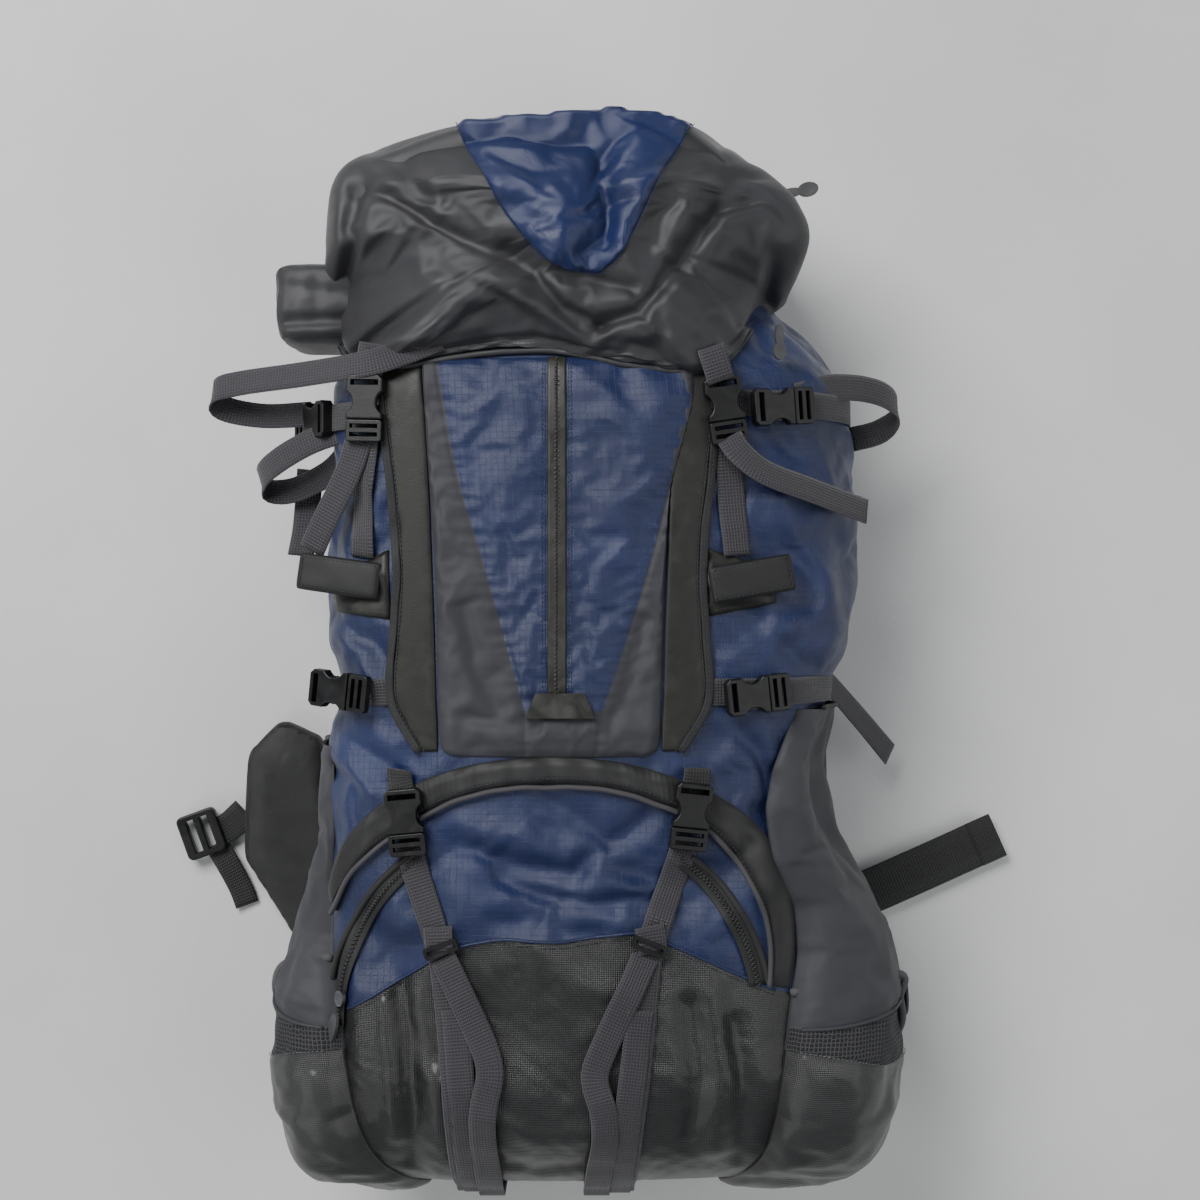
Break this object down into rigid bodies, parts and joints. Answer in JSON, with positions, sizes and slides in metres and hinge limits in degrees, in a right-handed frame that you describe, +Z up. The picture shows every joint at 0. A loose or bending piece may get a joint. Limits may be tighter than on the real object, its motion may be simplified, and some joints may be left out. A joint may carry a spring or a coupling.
{
  "type": "hiking backpack",
  "caption": "Internal-frame trekking pack lying on its harness, with floating lid, front zip pocket, side pockets, compression straps and side-release buckles.",
  "frame": {"origin": "bottom centre of the bounding box, on the surface the pack lies on", "axes": "+Z up out of the front panel, +Y from the base towards the lid, +X to the right of the front panel as seen from above"},
  "size_m": [0.6992, 0.8186, 0.262],
  "materials": {
    "blue_ripstop": "coated ripstop, slight sheen",
    "grey_fabric": "twill packcloth, matt",
    "stretch_fabric": "stretch woven, matt",
    "rail_rubber": "matt coated laminate",
    "coated_base": "embossed coated fabric, semi gloss",
    "webbing": "ribbed webbing",
    "black_webbing": "ribbed webbing",
    "buckle_plastic": "moulded acetal, worn",
    "pull_plastic": "moulded grey pull",
    "zip": "coil and coated tape",
    "zip_metal": "painted slider",
    "black_foam": "mesh covered foam",
    "frame_plastic": "polyethylene sheet",
    "frame_metal": "extruded flat bar",
    "pocket_lining": "packcloth"
  },
  "bodies": {
    "pack": {"back_panel": "black_foam", "front_panel": "blue_ripstop", "lower_panel": "blue_ripstop", "left_side_panel": "blue_ripstop", "right_side_panel": "blue_ripstop", "collar": "pocket_lining", "base_panel": "coated_base", "divider": "pocket_lining", "front_pocket": "blue_ripstop", "left_rail": "rail_rubber", "right_rail": "rail_rubber", "front_zip_tape": "zip", "arch_flap": "grey_fabric", "lower_zip_tape": "zip", "zip_garage": "rail_rubber", "left_upper_female": "buckle_plastic", "right_upper_female": "buckle_plastic", "left_mid_female": "buckle_plastic", "right_mid_female": "buckle_plastic", "left_lower_female": "buckle_plastic", "right_lower_female": "buckle_plastic", "side_straps": "webbing", "lid_straps": "webbing", "lower_straps": "webbing", "lower_strap_glides": "buckle_plastic", "strap_tails": "webbing", "label_tabs": "black_webbing", "left_side_pocket": "stretch_fabric", "right_side_pocket": "stretch_fabric", "pocket_cups": "coated_base", "collar_fold": "grey_fabric", "shoulder_straps": "black_foam", "back_pads": "black_foam", "lumbar_pad": "black_foam", "belt_pivots": "buckle_plastic", "frame_sheet": "frame_plastic", "frame_stays": "frame_metal", "haul_loop": "black_webbing"},
    "lid": {"lid_shell": "grey_fabric", "lid_panel": "blue_ripstop", "left_lid_female": "buckle_plastic", "right_lid_female": "buckle_plastic"},
    "lid_pull": {"lid_zip_pull": "pull_plastic"},
    "shoulder_pull": {"shoulder_zip_pull": "pull_plastic"},
    "front_slider": {"front_zip_slider": "zip_metal"},
    "lower_slider": {"lower_zip_slider": "zip_metal"},
    "lower_pull": {"lower_zip_pull": "pull_plastic"},
    "left_wing": {"left_hip_wing": "black_foam", "left_hip_webbing": "black_webbing", "hip_buckle": "buckle_plastic"},
    "right_wing": {"right_hip_wing": "black_foam", "right_hip_webbing": "black_webbing"},
    "left_lid_plug": {"left_lid_male": "buckle_plastic"},
    "right_lid_plug": {"right_lid_male": "buckle_plastic"},
    "left_upper_plug": {"left_upper_male": "buckle_plastic"},
    "right_upper_plug": {"right_upper_male": "buckle_plastic"},
    "left_mid_plug": {"left_mid_male": "buckle_plastic"},
    "right_mid_plug": {"right_mid_male": "buckle_plastic"},
    "left_lower_plug": {"left_lower_male": "buckle_plastic"},
    "right_lower_plug": {"right_lower_male": "buckle_plastic"}
  },
  "joints": [
    {"name": "lid_lift", "type": "slide", "parent": "pack", "child": "lid", "axis": [0, 1, 0], "range_m": [0, 0.14]},
    {"name": "left_lid_latch", "type": "slide", "parent": "pack", "child": "left_lid_plug", "axis": [-0.0338, -0.9994, -0.006], "range_m": [0, 0.028]},
    {"name": "right_lid_latch", "type": "slide", "parent": "pack", "child": "right_lid_plug", "axis": [0.1541, -0.9879, -0.0189], "range_m": [0, 0.028]},
    {"name": "left_upper_latch", "type": "slide", "parent": "pack", "child": "left_upper_plug", "axis": [-0.5878, 0, -0.809], "range_m": [0, 0.028]},
    {"name": "right_upper_latch", "type": "slide", "parent": "pack", "child": "right_upper_plug", "axis": [0.9371, 0.0742, -0.3411], "range_m": [0, 0.028]},
    {"name": "left_mid_latch", "type": "slide", "parent": "pack", "child": "left_mid_plug", "axis": [0.8927, -0.1161, 0.4354], "range_m": [0, 0.028]},
    {"name": "right_mid_latch", "type": "slide", "parent": "pack", "child": "right_mid_plug", "axis": [0.9688, 0.1072, -0.2237], "range_m": [0, 0.028]},
    {"name": "left_lower_latch", "type": "slide", "parent": "pack", "child": "left_lower_plug", "axis": [0.102, -0.9947, 0.0162], "range_m": [0, 0.028]},
    {"name": "right_lower_latch", "type": "slide", "parent": "pack", "child": "right_lower_plug", "axis": [-0.1189, -0.9927, 0.0188], "range_m": [0, 0.028]},
    {"name": "front_zip", "type": "slide", "parent": "pack", "child": "front_slider", "axis": [0, 1, 0], "range_m": [0, 0.222]},
    {"name": "lower_zip", "type": "hinge", "parent": "pack", "child": "lower_slider", "pos_m": [-0.03, -0.262, 0.20932], "axis": [0, 0.183, -0.9831], "range_deg": [0, 24]},
    {"name": "lower_pull_swing", "type": "hinge", "parent": "lower_slider", "child": "lower_pull", "pos_m": [-0.18616, -0.25717, 0.21627], "axis": [-0.7159, 0.3338, -0.6132], "range_deg": [0, 100]},
    {"name": "shoulder_pull_swing", "type": "hinge", "parent": "pack", "child": "shoulder_pull", "pos_m": [0.137, 0.248, 0.21734], "axis": [-0.9435, -0.0329, 0.3296], "range_deg": [0, 60]},
    {"name": "lid_pull_swing", "type": "hinge", "parent": "lid", "child": "lid_pull", "pos_m": [0.141, 0.356, 0.15], "axis": [0, 0, 1], "range_deg": [-35, 35]},
    {"name": "left_wing_cant", "type": "hinge", "parent": "pack", "child": "left_wing", "pos_m": [-0.14, -0.292, 0.012], "axis": [0, 0, 1], "range_deg": [-6, 6]},
    {"name": "right_wing_cant", "type": "hinge", "parent": "pack", "child": "right_wing", "pos_m": [0.144, -0.292, 0.012], "axis": [0, 0, 1], "range_deg": [-6, 6]}
  ]
}
